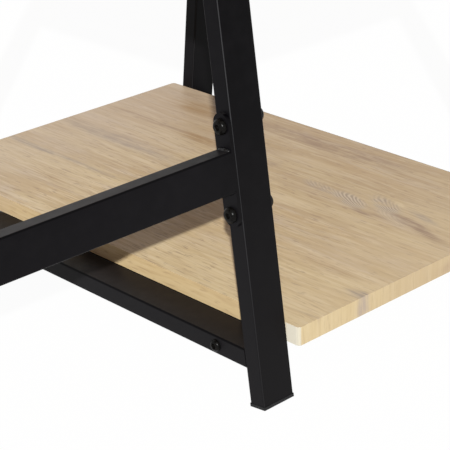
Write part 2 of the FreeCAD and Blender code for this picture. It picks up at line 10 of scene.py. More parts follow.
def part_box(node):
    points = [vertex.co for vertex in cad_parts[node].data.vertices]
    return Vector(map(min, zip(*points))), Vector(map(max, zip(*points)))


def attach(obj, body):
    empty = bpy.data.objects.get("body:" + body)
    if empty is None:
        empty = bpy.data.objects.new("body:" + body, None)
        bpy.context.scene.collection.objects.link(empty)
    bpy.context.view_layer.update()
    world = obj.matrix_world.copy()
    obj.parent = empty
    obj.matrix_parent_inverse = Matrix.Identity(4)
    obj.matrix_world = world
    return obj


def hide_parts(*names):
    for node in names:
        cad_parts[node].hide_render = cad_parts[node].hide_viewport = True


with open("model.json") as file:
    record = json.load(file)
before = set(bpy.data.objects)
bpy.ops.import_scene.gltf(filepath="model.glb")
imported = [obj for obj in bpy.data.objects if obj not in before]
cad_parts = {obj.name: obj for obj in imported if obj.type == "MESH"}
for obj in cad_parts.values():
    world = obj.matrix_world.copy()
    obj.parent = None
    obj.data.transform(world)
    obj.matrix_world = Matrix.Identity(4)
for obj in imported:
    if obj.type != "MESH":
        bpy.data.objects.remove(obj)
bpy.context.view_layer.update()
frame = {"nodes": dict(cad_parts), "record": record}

MM = 0.001
X_AXIS, Z_AXIS = 0, 2
BODY = "root"
WHITE = (1, 1, 1, 1)


def grey(shade):
    return (shade, shade, shade, 1)


def corner(node, x, y, z):
    """A corner of a CAD node's box; each of x, y, z is 0 for low or 1 for high."""
    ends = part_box(node)
    return Vector((ends[x][0], ends[y][1], ends[z][2]))


# Node trees

class Graph:
    """The node tree of a material or a world, with a short call for each kind of step.

    A material's colour is built up in layers. A fade is what spread takes after its value: the stretch
    over which something changes, then the shares at both ends, unless they are 0 and 1.
    """

    def __init__(self, owner, shader="Principled BSDF"):
        owner.use_nodes = True
        self.owner = owner
        self.nodes = owner.node_tree.nodes
        self.links = owner.node_tree.links
        self.shader = self.nodes[shader]
        self.colour = WHITE

    def feed(self, node, inputs, output=0):
        """Sets or links a node's sockets, given by name or number, and returns one of its outputs."""
        for name, source in inputs.items():
            if isinstance(source, bpy.types.NodeSocket):
                self.links.new(source, node.inputs[name])
            else:
                node.inputs[name].default_value = source
        return node.outputs[output]

    def set(self, **inputs):
        """Sets or links the shader's sockets; underscores stand for spaces."""
        self.feed(self.shader, {name.replace("_", " "): source for name, source in inputs.items()})

    def place(self):
        return self.nodes.new("ShaderNodeTexCoord").outputs["Object"]

    def face_way(self):
        return self.nodes.new("ShaderNodeTexCoord").outputs["Normal"]

    def maths(self, operation, first, second=0.0, third=0.0):
        node = self.nodes.new("ShaderNodeMath")
        node.operation = operation
        return self.feed(node, {0: first, 1: second, 2: third})

    def product(self, first, *others):
        for other in others:
            first = self.maths("MULTIPLY", first, other)
        return first

    def size(self, value):
        return self.maths("ABSOLUTE", value)

    def vectors(self, operation, first, second):
        node = self.nodes.new("ShaderNodeVectorMath")
        node.operation = operation
        return self.feed(node, {0: first, 1: second})

    def split(self, vector):
        node = self.nodes.new("ShaderNodeSeparateXYZ")
        self.feed(node, {0: vector})
        return tuple(node.outputs)

    def join(self, x, y, z):
        return self.feed(self.nodes.new("ShaderNodeCombineXYZ"), {0: x, 1: y, 2: z})

    def noise(self, vector, scale, detail=2.0, roughness=0.5):
        node = self.nodes.new("ShaderNodeTexNoise")
        inputs = {"Vector": vector, "Scale": scale, "Detail": detail, "Roughness": roughness}
        return self.feed(node, inputs, "Fac")

    def spread(self, value, low, high, to_low=0.0, to_high=1.0, way="SMOOTHSTEP"):
        """The value's range low to high stretched to another, with soft ends unless the way is LINEAR."""
        node = self.nodes.new("ShaderNodeMapRange")
        node.interpolation_type = way
        inputs = {"Value": value, "From Min": low, "From Max": high, "To Min": to_low, "To Max": to_high}
        return self.feed(node, inputs)

    def blend(self, share, first, second, way="MIX"):
        """Two colours mixed by a share."""
        node = self.nodes.new("ShaderNodeMix")
        node.data_type = "RGBA"
        node.blend_type = way
        return self.feed(node, {0: share, 6: first, 7: second}, 2)

    def lay(self, share, tone, way="MIX"):
        """Lays a tone over the colour so far, by a share."""
        self.colour = self.blend(share, self.colour, tone, way)

    def spot(self, vector, centre, size, turn):
        """1 at the centre of an ellipse, falling to 0 at its rim; the turn is in degrees."""
        mapping = self.nodes.new("ShaderNodeMapping")
        mapping.vector_type = "TEXTURE"
        turn = (0, 0, math.radians(turn))
        mapped = self.feed(mapping, {"Vector": vector, "Location": centre, "Rotation": turn, "Scale": size})
        gradient = self.nodes.new("ShaderNodeTexGradient")
        gradient.gradient_type = "QUADRATIC_SPHERE"
        return self.feed(gradient, {"Vector": mapped}, "Fac")

    def bump(self, height, distance, strength):
        node = self.nodes.new("ShaderNodeBump")
        self.set(Normal=self.feed(node, {"Height": height, "Distance": distance, "Strength": strength}))

    def shown_directly(self):
        """1 for camera, glossy and transmission rays, which see the background, and 0 for the light."""
        path = self.nodes.new("ShaderNodeLightPath")
        total = path.outputs["Is Camera Ray"]
        for name in ("Is Glossy Ray", "Is Transmission Ray"):
            total = self.maths("MAXIMUM", total, path.outputs[name])
        return total

    def show_white(self, share, kind, output):
        """Shows plain white light in place of the owner's own shader, by a share."""
        white = self.feed(self.nodes.new(kind), {"Color": WHITE, "Strength": 1})
        mix = self.nodes.new("ShaderNodeMixShader")
        self.feed(mix, {"Fac": share, 1: self.shader.outputs[0], 2: white})
        self.links.new(mix.outputs[0], self.nodes[output].inputs["Surface"])


# Camera

# Lens and sensor in millimetres, turns in degrees, and the place as seen from the lower shelf's near corner
LENS = 126.894
SENSOR = 36
CAMERA_YAW = 42.667
CAMERA_PITCH = 23.927
CAMERA_ROLL = 1.899
CAMERA_FROM_CORNER = Vector((723.41, 710.0, 532.31)) * MM


def add_camera():
    yaw, pitch, roll = (math.radians(degrees) for degrees in (CAMERA_YAW, CAMERA_PITCH, CAMERA_ROLL))
    ahead = Vector((-math.cos(pitch) * math.sin(yaw), -math.cos(pitch) * math.cos(yaw), -math.sin(pitch)))
    level = Vector((-math.cos(yaw), math.sin(yaw), 0))
    down = ahead.cross(level)
    right = math.cos(roll) * level + math.sin(roll) * down
    up = math.sin(roll) * level - math.cos(roll) * down
    data = bpy.data.cameras.new("camera")
    data.lens = LENS
    data.sensor_width = SENSOR
    camera = bpy.data.objects.new("camera", data)
    place = corner("lower_shelf_edging", 1, 1, 1) + CAMERA_FROM_CORNER
    turn = Matrix((right, up, -ahead)).transposed().to_4x4()
    camera.matrix_world = Matrix.Translation(place) @ turn
    bpy.context.collection.objects.link(camera)
    bpy.context.scene.camera = camera


# Light: one low sun and a soft, even world

SUN_FROM = Vector((1.345, 1.46, 1.0))
SUN_STRENGTH = 5.75
SUN_ANGLE = 0.9
SUN_COLOUR = (0.98, 1.0, 0.98)
AMBIENT = 0.235
AMBIENT_COLOUR = (1.0, 0.81, 0.74, 1)


def add_world():
    world = bpy.data.worlds.new("studio")
    bpy.context.scene.world = world
    graph = Graph(world, "Background")
    graph.set(Color=AMBIENT_COLOUR, Strength=AMBIENT)
    graph.show_white(graph.shown_directly(), "ShaderNodeBackground", "World Output")


def add_sun():
    data = bpy.data.lights.new("sun", "SUN")
    data.energy = SUN_STRENGTH
    data.angle = math.radians(SUN_ANGLE)
    data.color = SUN_COLOUR
    sun = bpy.data.objects.new("sun", data)
    sun.rotation_mode = "QUATERNION"
    sun.rotation_quaternion = (-SUN_FROM).to_track_quat("-Z", "Y")
    sun.location = SUN_FROM
    bpy.context.collection.objects.link(sun)


# Floor

# Its size in metres, its shade for the light and for the camera, and the share of plain white over that
FLOOR_SIZE = 14
FLOOR_SHADE = 0.55
FLOOR_SHOWN = 0.90
FLOOR_GLOW = 0.965
FLOOR_ROUGHNESS = 0.9

# The white fades out in the low shelf's shadow, over these distances in from the shelf's lower and upper
# side along X, and the same along Y
GLOW_FADES = [((0, 30 * MM), (18 * MM, 55 * MM)), ((0, 30 * MM), (75 * MM, 84 * MM))]

# The thin strip of floor that sunlight reaches between shelf and frame gets painted shade, which keeps it
# dark:
# its shade, half its width, and where its darkness has faded out
SLIT_SHADE = 0.01
SLIT_HALF = 5 * MM
SLIT_FADED = 9 * MM


def under_shelf(graph):
    """Shares from 0 to 1: well under the low shelf, and on the strip there that the sun still reaches."""
    low, high = corner("lower_shelf", 0, 0, 0), corner("lower_shelf", 1, 1, 0)
    place = graph.split(graph.place())
    inside = 1
    for axis, (low_fade, high_fade) in enumerate(GLOW_FADES):
        lower = [low[axis] + distance for distance in low_fade]
        upper = [high[axis] - distance for distance in high_fade]
        for start, end in (lower, upper):
            inside = graph.product(graph.spread(place[axis], start, end), inside)
    slit_x = high.x - high.z * SUN_FROM.x / SUN_FROM.z
    away = graph.size(graph.maths("SUBTRACT", place[0], slit_x))
    slit = graph.spread(away, SLIT_FADED, SLIT_HALF, way="LINEAR")
    return inside, graph.product(inside, slit)


def floor_paint():
    graph = Graph(bpy.data.materials.new("floor"))
    shown = graph.shown_directly()
    inside, slit = under_shelf(graph)
    # Painted shade for the camera on the sunlit strip under the shelf
    seen = graph.blend(slit, grey(FLOOR_SHOWN), grey(SLIT_SHADE))
    graph.set(Base_Color=graph.blend(shown, grey(FLOOR_SHADE), seen), Roughness=FLOOR_ROUGHNESS,
              Specular_IOR_Level=0)
    glow = graph.product(shown, FLOOR_GLOW, graph.maths("SUBTRACT", 1, inside))
    graph.show_white(glow, "ShaderNodeEmission", "Material Output")
    return graph.owner


def add_floor():
    reach = FLOOR_SIZE / 2
    corners = [(-reach, -reach, 0), (reach, -reach, 0), (reach, reach, 0), (-reach, reach, 0)]
    mesh = bpy.data.meshes.new("floor")
    mesh.from_pydata(corners, [], [(0, 1, 2, 3)])
    mesh.materials.append(floor_paint())
    floor = bpy.data.objects.new("floor", mesh)
    bpy.context.collection.objects.link(floor)


# Wood

OAK_PALE = (0.640, 0.510, 0.330, 1)
OAK_MID = (0.545, 0.418, 0.250, 1)
OAK_WARM = (0.450, 0.322, 0.180, 1)
OAK_GOLD = (0.600, 0.465, 0.265, 1)
OAK_BROWN = (0.285, 0.190, 0.125, 1)
OAK_GREY = (0.330, 0.262, 0.210, 1)
OAK_SILVER = (0.528, 0.425, 0.335, 1)
OAK_RUST = (0.300, 0.180, 0.080, 1)
OAK_AMBER = (0.500, 0.340, 0.160, 1)
OAK_ASHEN = (0.470, 0.375, 0.300, 1)
OAK_FLAKE = (0.535, 0.445, 0.345, 1)
OAK_SHADE = (0.280, 0.210, 0.155, 1)
BAND_END = (0.355, 0.280, 0.153, 1)
BAND_SIDE = (0.400, 0.277, 0.130, 1)
BAND_CORNER = (0.600, 0.565, 0.485, 1)
BAND_BEND = (0.430, 0.395, 0.320, 1)

# Noises along the grain: scale across it and along it, detail, roughness, and a shift that gives each its
# own pattern
GRAIN_NOISES = {
    "broad": (30, 2.6, 2.0, 0.5, 3.1),
    "medium": (120, 7, 3.0, 0.6, 7.7),
    "fibres": (360, 20, 3.0, 0.65, 11.3),
    "hairs": (740, 34, 1.0, 0.5, 29.1),
    "dashes": (620, 70, 1.0, 0.5, 17.9),
    "figure": (75, 40, 3.0, 0.6, 23.5),
    "hue": (55, 5, 2.0, 0.5, 41.3),
    "lines": (130, 2.0, 2.0, 0.55, 53.9),
}
CLOUD_SCALE = (22, 9)

# The ground runs from warm to pale with the broad noise, and the middle tone has a share of it
GROUND_FADE = (0.34, 0.64)
MID_SHARE = 0.35

# Tints: a noise, where on it the tone starts and is full, its strength, and the tone
GROUND_TINTS = [
    ("lines", 0.50, 0.64, 0.55, OAK_WARM),
    ("lines", 0.48, 0.34, 0.50, OAK_PALE),
    ("medium", 0.50, 0.66, 0.50, OAK_WARM),
    ("medium", 0.46, 0.32, 0.50, OAK_SILVER),
    ("cloud", 0.52, 0.66, 0.45, OAK_WARM),
    ("cloud", 0.48, 0.34, 0.50, OAK_SILVER),
    ("figure", 0.54, 0.70, 0.40, OAK_SILVER),
    ("hue", 0.50, 0.64, 0.38, OAK_AMBER),
    ("hue", 0.48, 0.34, 0.60, OAK_GOLD),
]
FIBRE_TINTS = [
    ("fibres", 0.50, 0.66, 0.68, OAK_WARM),
    ("fibres", 0.48, 0.34, 0.65, OAK_PALE),
    ("hairs", 0.54, 0.68, 0.60, OAK_WARM),
    ("hairs", 0.66, 0.76, 0.70, OAK_BROWN),
    ("dashes", 0.62, 0.72, 0.65, OAK_BROWN),
]

# Slow and quick sideways drift of the lines, as scales and reach, and the drift of the marks
SLOW_SCALE = (12, 3.0)
SLOW_DRIFT = 14 * MM
QUICK_SCALE = (60, 22)
QUICK_DRIFT = 2.4 * MM
MARK_DRIFT = 5 * MM

# Painted light over a shelf, falling off away from its inner rear corner, by where each change starts from
# its middle and how strong it gets: more golden on the bay's inner side towards the rear, browner outwards,
# paler to the rear and greyer to the front
GOLDEN_START = 20 * MM
GOLDEN_SHARE = 0.65
GOLDEN_REAR = (-60 * MM, 80 * MM)
OUTER_SHARE = 0.38
REAR_START = 60 * MM
REAR_SHARE = 0.34
FRONT_START = -40 * MM
FRONT_SHARE = 0.45

# The edge band: the tone of its ends comes in as a face turns level, that of its long sides has one
# share, and the ends are browner away from the bay's inner side
BAND_END_FADE = (0.8, 0.4, 0.0, 0.5)
BAND_SIDE_SHARE = 0.45
BAND_INNER_FADE = (10 * MM, 110 * MM, 0.2, 0.0)

# It turns pale where its long sides end, over this distance from the ends, and where it bends
CORNER_PALE = (11 * MM, 15 * MM)
CORNER_FACING = (0.5, 0.9, 0.0, 0.9)
BEND_FADE = (0.1, 0.35, 0.0, 0.9)

# How squarely a face has to look across the grain to count as a long side
LONG_SIDE_FADE = (0.5, 0.8)

# Marks in the lower shelf's decor, in millimetres from the shelf's middle: across the grain, along it,
# half width, half length, turn in degrees, strength, colour
LOWER_SHELF_MARKS = [
    (-127, -10, 23, 200, 1, 0.95, OAK_BROWN),
    (-136, -195, 16, 45, 0, 0.50, OAK_BROWN),
    (-117, -162, 30, 82, 0, 0.75, OAK_RUST),
    (-62, -178, 8, 130, 0, 0.60, OAK_BROWN),
    (-60, -98, 18, 66, 0, 0.80, OAK_RUST),
    (-60, -14, 9, 34, 0, 0.70, OAK_BROWN),
    (-88, 18, 13, 95, 0, 0.40, OAK_PALE),
    (-11, 60, 16, 60, 0, 0.50, OAK_PALE),
    (-47, 58, 7, 34, -8, 0.70, OAK_BROWN),
    (-34, 122, 5, 24, -6, 1.0, OAK_BROWN),
    (-37, 140, 4, 26, -4, 0.60, OAK_BROWN),
    (-41, 176, 12, 68, -14, 1.3, OAK_BROWN),
    (-59, 170, 8, 38, -14, 0.80, OAK_GREY),
    (-67, 136, 5, 16, -14, 0.80, OAK_PALE),
    (82, 228, 11, 27, 0, 1.6, OAK_GREY),
    (84, 241, 13, 18, 0, 1.9, OAK_GREY),
    (58, -205, 7, 200, 0, 1.1, OAK_GREY),
    (-6, -165, 20, 175, -1, 0.75, OAK_GREY),
    (97, -108, 25, 80, 0, 0.35, OAK_RUST),
    (65, 180, 9, 60, 0, 0.40, OAK_RUST),
    (132, 222, 3, 30, 2, 0.65, OAK_BROWN),
    (20, 60, 9, 70, 2, 0.30, OAK_BROWN),
    (-2, 102, 2, 17, 0, 0.60, OAK_BROWN),
    (-45, 241, 70, 12, 0, 0.90, OAK_BROWN),
]
MARK_RIM = (0.0, 0.6)
MARK_FIBRES = (0.32, 0.60, 0.35, 1.0)
MARK_FIGURE = (0.30, 0.58, 0.45, 1.0)

# Wavy figure where the grain curls: the same columns without a colour
LOWER_SHELF_CURLS = [
    (-46, 98, 16, 38, -14, 1.0),
    (-58, 128, 15, 34, -20, 1.0),
    (-50, 62, 10, 36, -6, 0.7),
    (-40, 150, 11, 38, -16, 0.3),
]
CURL_RIM = (0.0, 0.4)
CURL_FIGURE = (0.38, 0.54, 0.3, 1.0)
FLAKE_SHARE = 0.7

# Strokes of the curled figure: their distance from each other along the grain, how far they run along
# it for each step across it, how quickly they bend towards it, how they fade, and their shaking
STROKE_STEP = 5.2 * MM
STROKE_LEAN = 1.9
STROKE_BEND = 0.075 / MM
STROKE_FADE = (-0.8, 0.7, 0.0, 0.8)
SHAKE_SCALE = (60, 45)
SHAKE = 14 * MM

OAK_ROUGHNESS = (0.3, 0.7, 0.46, 0.58)
OAK_GLOSS = 0.45
PORE_DEPTH = 0.06 * MM
PORE_STRENGTH = 0.6


class Oak(Graph):
    """Printed oak decor. Its grain runs along the named axis and turns down over the edges."""

    def __init__(self, name, board, grain, seed):
        super().__init__(bpy.data.materials.new(name))
        low, high = (Vector(end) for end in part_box(board))
        half = (high - low) / 2
        x, y, z = self.split(self.vectors("SUBTRACT", self.place(), (low + high) / 2))
        self.side_x, self.side_y, self.side_z = self.split(self.face_way())
        if grain == "Y":
            across, along, self.long_side = x, y, self.side_x
            self.half_across, self.half_along = half.x, half.y
        else:
            across, along, self.long_side = y, x, self.side_y
            self.half_across, self.half_along = half.y, half.x

        # two shares: the first is 1 on the long sides, and the second everywhere else
        self.long_edge = self.spread(self.size(self.long_side), *LONG_SIDE_FADE)
        self.end_edge = self.maths("SUBTRACT", 1.0, self.long_edge)

        self.seed = seed
        self.across = self.maths("ADD", across, self.product(z, self.long_edge))
        self.along = self.maths("SUBTRACT", along, self.product(z, self.end_edge))
        self.flat = self.join(self.across, self.along, seed)
        self.add_noises()

    def add_noises(self):
        """Noises by name, along lines that drift sideways, so that none is quite straight."""
        slow = self.maths("SUBTRACT", self.flat_noise(*SLOW_SCALE), 0.5)
        quick = self.maths("SUBTRACT", self.flat_noise(*QUICK_SCALE), 0.5)
        drift = self.maths("ADD", self.product(slow, SLOW_DRIFT), self.product(quick, QUICK_DRIFT))
        self.curved = self.moved_across(drift)
        self.gentle = self.moved_across(self.product(quick, MARK_DRIFT))
        self.noises = {name: self.streaks(*values) for name, values in GRAIN_NOISES.items()}
        self.noises["cloud"] = self.flat_noise(*CLOUD_SCALE)

    def flat_noise(self, across_scale, along_scale):
        return self.noise(self.vectors("MULTIPLY", self.flat, (across_scale, along_scale, 1)), 1.0)

    def moved_across(self, drift):
        return self.join(self.maths("ADD", self.across, drift), self.along, self.seed)

    def streaks(self, across_scale, along_scale, detail, roughness, shift):
        stretched = self.vectors("MULTIPLY", self.curved, (across_scale, along_scale, 1))
        return self.noise(self.vectors("ADD", stretched, (shift, shift, shift)), 1.0, detail, roughness)

    def tint(self, rows):
        for noise, start, full, strength, tone in rows:
            self.lay(self.spread(self.noises[noise], start, full, 0.0, strength), tone)

    def painted_golden_light(self):
        side = self.spread(self.across, GOLDEN_START, self.half_across, 0.0, GOLDEN_SHARE)
        self.lay(self.product(side, self.spread(self.along, *GOLDEN_REAR)), OAK_GOLD)

    def painted_light_falloff(self):
        self.lay(self.spread(self.across, -self.half_across, self.half_across, OUTER_SHARE, 0.0), OAK_BROWN)
        self.lay(self.spread(self.along, REAR_START, self.half_along, 0.0, REAR_SHARE), OAK_PALE)
        self.lay(self.spread(self.along, FRONT_START, -self.half_along, 0.0, FRONT_SHARE), OAK_ASHEN)

    def band(self):
        self.lay(self.product(self.end_edge, self.spread(self.side_z, *BAND_END_FADE)), BAND_END)
        self.lay(self.product(self.long_edge, BAND_SIDE_SHARE), BAND_SIDE)
        self.lay(self.product(self.end_edge, self.spread(self.across, *BAND_INNER_FADE)), OAK_BROWN)

    def ellipse(self, across, along, half_width, half_length, turn):
        """A spot on the board, given in millimetres from its middle."""
        centre = (across * MM, along * MM, self.seed)
        return self.spot(self.gentle, centre, (half_width * MM, half_length * MM, 1), turn)

    def marks(self, rows):
        """Darker and paler places, broken up by the fibres and the figure."""
        broken = self.product(self.spread(self.noises["fibres"], *MARK_FIBRES),
                              self.spread(self.noises["figure"], *MARK_FIGURE))
        for *shape, strength, tone in rows:
            self.lay(self.product(self.spread(self.ellipse(*shape), *MARK_RIM), broken, strength), tone)

    def curls(self, rows):
        """Strokes that cross the grain and bend round towards it, shaken by a slow noise."""
        shake = self.product(self.flat_noise(*SHAKE_SCALE), SHAKE)
        figure = self.spread(self.noises["figure"], *CURL_FIGURE)
        for *shape, strength in rows:
            share = self.product(self.spread(self.ellipse(*shape), *CURL_RIM), figure, strength)
            off = self.maths("SUBTRACT", self.across, shape[0] * MM)
            run = self.product(off, self.maths("MULTIPLY_ADD", off, STROKE_BEND, STROKE_LEAN))
            place = self.maths("ADD", self.maths("SUBTRACT", self.along, run), shake)
            strokes = self.maths("SINE", self.product(place, 2 * math.pi / STROKE_STEP))
            self.lay(self.product(share, FLAKE_SHARE), OAK_FLAKE)
            self.lay(self.product(share, self.spread(strokes, *STROKE_FADE)), OAK_SHADE)

    def band_corners(self):
        far, near = (self.half_along - distance for distance in CORNER_PALE)
        near_end = self.spread(self.size(self.along), near, far)
        facing = self.spread(self.size(self.long_side), *CORNER_FACING)
        self.lay(self.product(near_end, facing), BAND_CORNER)
        bend = self.product(self.size(self.side_x), self.size(self.side_y))
        self.lay(self.spread(bend, *BEND_FADE), BAND_BEND)


def oak(name, board, grain, marks, curls, edge, seed):
    """The decor of a board or, if edge is true, of the band round it. Only shelves have grain along Y."""
    graph = Oak(name, board, grain, seed)
    graph.colour = graph.blend(graph.spread(graph.noises["broad"], *GROUND_FADE), OAK_WARM, OAK_PALE)
    graph.lay(MID_SHARE, OAK_MID)
    graph.tint(GROUND_TINTS)
    # Shelves get painted light that falls off away from their inner rear corner
    if grain == "Y":
        graph.painted_golden_light()
    graph.tint(FIBRE_TINTS)
    if grain == "Y":
        graph.painted_light_falloff()
    if edge:
        graph.band()
    graph.marks(marks)
    if curls:
        graph.curls(curls)
    if edge:
        graph.band_corners()
    fibres = graph.noises["fibres"]
    graph.set(Base_Color=graph.colour, Roughness=graph.spread(fibres, *OAK_ROUGHNESS),
              Specular_IOR_Level=OAK_GLOSS)
    graph.bump(graph.maths("SUBTRACT", 1.0, fibres), PORE_DEPTH, PORE_STRENGTH)
    return graph.owner


# Metal and plastic

# The middle of a noise's range, over which tone and roughness change
NOISE_MIDDLE = (0.3, 0.7)

# Powder coat: its tones, its noises as scale or as scale, detail and roughness, and its relief as depth and
# strength. The other materials have values of the same kinds
COAT_DARK = (0.0012, 0.0010, 0.0014, 1)
COAT_LIGHT = (0.0026, 0.0023, 0.0028, 1)
# The next five tones are painted light: the floor's reflection low down, the sheen on upward faces, the
# wood's reflection low on them, the highlight along upright corners, and the paler side faces
COAT_LOW = (0.0058, 0.0053, 0.0058, 1)
COAT_TOP_SHEEN = (0.0350, 0.0325, 0.0335, 1)
COAT_WOOD_GLEAM = (0.0850, 0.0580, 0.0440, 1)
COAT_RIDGE = (0.028, 0.028, 0.030, 1)
COAT_PALER = (0.0016, 0.0015, 0.0019, 1)
COAT_CLOUD = (90, 3.0, 0.6)
COAT_FADE = (0.35, 0.75)
COAT_ROUGHNESS = (0.40, 0.47)
COAT_GLOSS = 0.055
PEEL_SCALE = 1500
PEEL_RELIEF = (0.03 * MM, 0.5)

# Fades of the powder coat by height above the floor
FLOOR_GLEAM_HEIGHT = (10 * MM, 300 * MM, 0.9, 0.0)
SHEEN_HEIGHT = (60 * MM, 150 * MM)
SHEEN_SHARES = (0.28, 1.0)
RIDGE_HEIGHT = (30 * MM, 260 * MM, 0.25, 1.0)

# Its changes beyond the outer or the middle frame, as distance and the shares at its two ends
FLOOR_GLEAM_BEYOND = (150 * MM, 0.35, 1.0)
PALER_BEYOND = (40 * MM, 0.0, 0.8)
SHEEN_BEYOND = (150 * MM, 0.3, 1.0)

# Its fades by the way that a face looks: to left or right, somewhat upwards but not straight up, straight
# up, round a corner, and level
SIDEWAYS = (0.80, 0.97)
TURNING_UP = (0.10, 0.35)
NOT_QUITE_UP = (0.99, 0.93)
STRAIGHT_UP = (0.93, 0.99)
ROUND_CORNER = (0.74, 0.94, 1.0, 0.0)
LEVEL = (0.15, 0.35, 1.0, 0.0)


def powder_coat(name):
    """Satin black powder coat with its fine orange peel.

    It carries painted light: a painted reflection of the floor makes it paler low down, a painted sheen
    makes upward faces paler, a painted highlight runs along upright corners, painted light makes faces to
    left and right a little paler, and corners that turn upwards get a painted dark reflection. Beyond the
    bay it is a little paler too. The floor's reflection is weaker on the outer frame. The sheen is weaker
    low down, where it is a brownish painted reflection of the wood, and close to the middle frame.
    """
    graph = Graph(bpy.data.materials.new(name))
    place = graph.place()
    place_x, _, height = graph.split(place)
    way_x, way_y, way_z = graph.split(graph.face_way())

    def beyond(frame_name, reach, near_share, far_share):
        side = corner(f"{frame_name}_frame_lower_bar", 1, 0, 0).x
        return graph.spread(place_x, side, side + reach, near_share, far_share)

    cloud = graph.noise(place, *COAT_CLOUD)
    graph.colour = graph.blend(graph.spread(cloud, *COAT_FADE), COAT_DARK, COAT_LIGHT)
    # Painted reflection of the floor: paler low down, weaker on the outer frame
    graph.lay(graph.product(graph.spread(height, *FLOOR_GLEAM_HEIGHT), beyond("left", *FLOOR_GLEAM_BEYOND)), COAT_LOW)
    # Painted light: faces to left and right are a little paler; beyond the bay all faces are too
    paler = graph.maths("MAXIMUM", graph.spread(graph.size(way_x), *SIDEWAYS),
                        beyond("middle", *PALER_BEYOND))
    graph.lay(paler, COAT_PALER, "ADD")
    # Painted dark reflection on rounded corners that turn upwards
    turned = graph.product(graph.spread(way_z, *TURNING_UP), graph.spread(way_z, *NOT_QUITE_UP))
    graph.lay(turned, COAT_DARK)

    # Painted sheen on upward faces: pale higher up, a brownish painted reflection of the wood low down,
    # weaker there and close to the middle frame
    sheen_share = graph.product(graph.spread(height, *SHEEN_HEIGHT, *SHEEN_SHARES), beyond("middle", *SHEEN_BEYOND))
    sheen_tone = graph.blend(graph.spread(height, *SHEEN_HEIGHT), COAT_WOOD_GLEAM, COAT_TOP_SHEEN)
    graph.lay(graph.product(graph.spread(way_z, *STRAIGHT_UP), sheen_share), sheen_tone)

    # Painted highlight along upright corners, stronger higher up
    ridge = graph.spread(graph.maths("MAXIMUM", graph.size(way_x), graph.size(way_y)), *ROUND_CORNER)
    level = graph.spread(graph.size(way_z), *LEVEL)
    graph.lay(graph.product(ridge, level, graph.spread(height, *RIDGE_HEIGHT)), COAT_RIDGE)

    graph.set(Base_Color=graph.colour, Roughness=graph.spread(cloud, *NOISE_MIDDLE, *COAT_ROUGHNESS),
              Specular_IOR_Level=COAT_GLOSS)
    graph.bump(graph.noise(place, PEEL_SCALE), *PEEL_RELIEF)
    return graph.owner


BEAD_CLOUD_SCALE = 300
BEAD_CLOUD_FADE = (0.35, 0.7)
BEAD_LUMP_SCALE = 600
BEAD_ROUGHNESS = (0.10, 0.20)
BEAD_GLOSS = 0.22
BEAD_RELIEF = (0.4 * MM, 0.8)


def bead_coat(name):
    """The same coat on a weld bead, where it lies thicker and shines more."""
    graph = Graph(bpy.data.materials.new(name))
    place = graph.place()
    cloud, lumps = graph.noise(place, BEAD_CLOUD_SCALE), graph.noise(place, BEAD_LUMP_SCALE)
    graph.set(Base_Color=graph.blend(graph.spread(cloud, *BEAD_CLOUD_FADE), COAT_DARK, COAT_LOW),
              Roughness=graph.spread(lumps, *NOISE_MIDDLE, *BEAD_ROUGHNESS), Specular_IOR_Level=BEAD_GLOSS)
    graph.bump(lumps, *BEAD_RELIEF)
    return graph.owner


def clouded(graph, cloud, dark, light, roughness):
    """Gives a plain material its tone and roughness, which both change with a noise."""
    graph.set(Base_Color=graph.blend(graph.spread(cloud, *NOISE_MIDDLE), dark, light),
              Roughness=graph.spread(cloud, *NOISE_MIDDLE, *roughness))


PLASTIC_DARK = (0.0060, 0.0058, 0.0064, 1)
PLASTIC_LIGHT = (0.0110, 0.0105, 0.0115, 1)
PLASTIC_CLOUD_SCALE = 160
PLASTIC_ROUGHNESS = (0.42, 0.52)
PLASTIC_GLOSS = 0.18
PLASTIC_GRAIN = (2600, 2.0, 0.6)
PLASTIC_RELIEF = (0.04 * MM, 0.6)


def moulded_plastic(name):
    graph = Graph(bpy.data.materials.new(name))
    place = graph.place()
    cloud = graph.noise(place, PLASTIC_CLOUD_SCALE)
    clouded(graph, cloud, PLASTIC_DARK, PLASTIC_LIGHT, PLASTIC_ROUGHNESS)
    graph.set(Specular_IOR_Level=PLASTIC_GLOSS)
    graph.bump(graph.noise(place, *PLASTIC_GRAIN), *PLASTIC_RELIEF)
    return graph.owner


STEEL_DARK = (0.0016, 0.0014, 0.0014, 1)
STEEL_LIGHT = (0.0052, 0.0046, 0.0040, 1)
STEEL_CLOUD = (700, 3.0, 0.6)
STEEL_ROUGHNESS = (0.22, 0.32)
STEEL_GLOSS = 0.07
STEEL_RELIEF = (0.03 * MM, 0.4)


def blackened_steel(name):
    """Black oxide screws, a little shinier than the powder coat."""
    graph = Graph(bpy.data.materials.new(name))
    cloud = graph.noise(graph.place(), *STEEL_CLOUD)
    clouded(graph, cloud, STEEL_DARK, STEEL_LIGHT, STEEL_ROUGHNESS)
    graph.set(Specular_IOR_Level=STEEL_GLOSS)
    graph.bump(cloud, *STEEL_RELIEF)
    return graph.owner


ZINC_DARK = (0.46, 0.46, 0.48, 1)
ZINC_LIGHT = (0.62, 0.61, 0.58, 1)
ZINC_CLOUD = (420, 3.0, 0.6)
ZINC_ROUGHNESS = (0.28, 0.42)
ZINC_RELIEF = (0.04 * MM, 0.4)


def zinc(name):
    graph = Graph(bpy.data.materials.new(name))
    cloud = graph.noise(graph.place(), *ZINC_CLOUD)
    clouded(graph, cloud, ZINC_DARK, ZINC_LIGHT, ZINC_ROUGHNESS)
    graph.set(Metallic=1.0)
    graph.bump(cloud, *ZINC_RELIEF)
    return graph.owner


# Which node gets which material

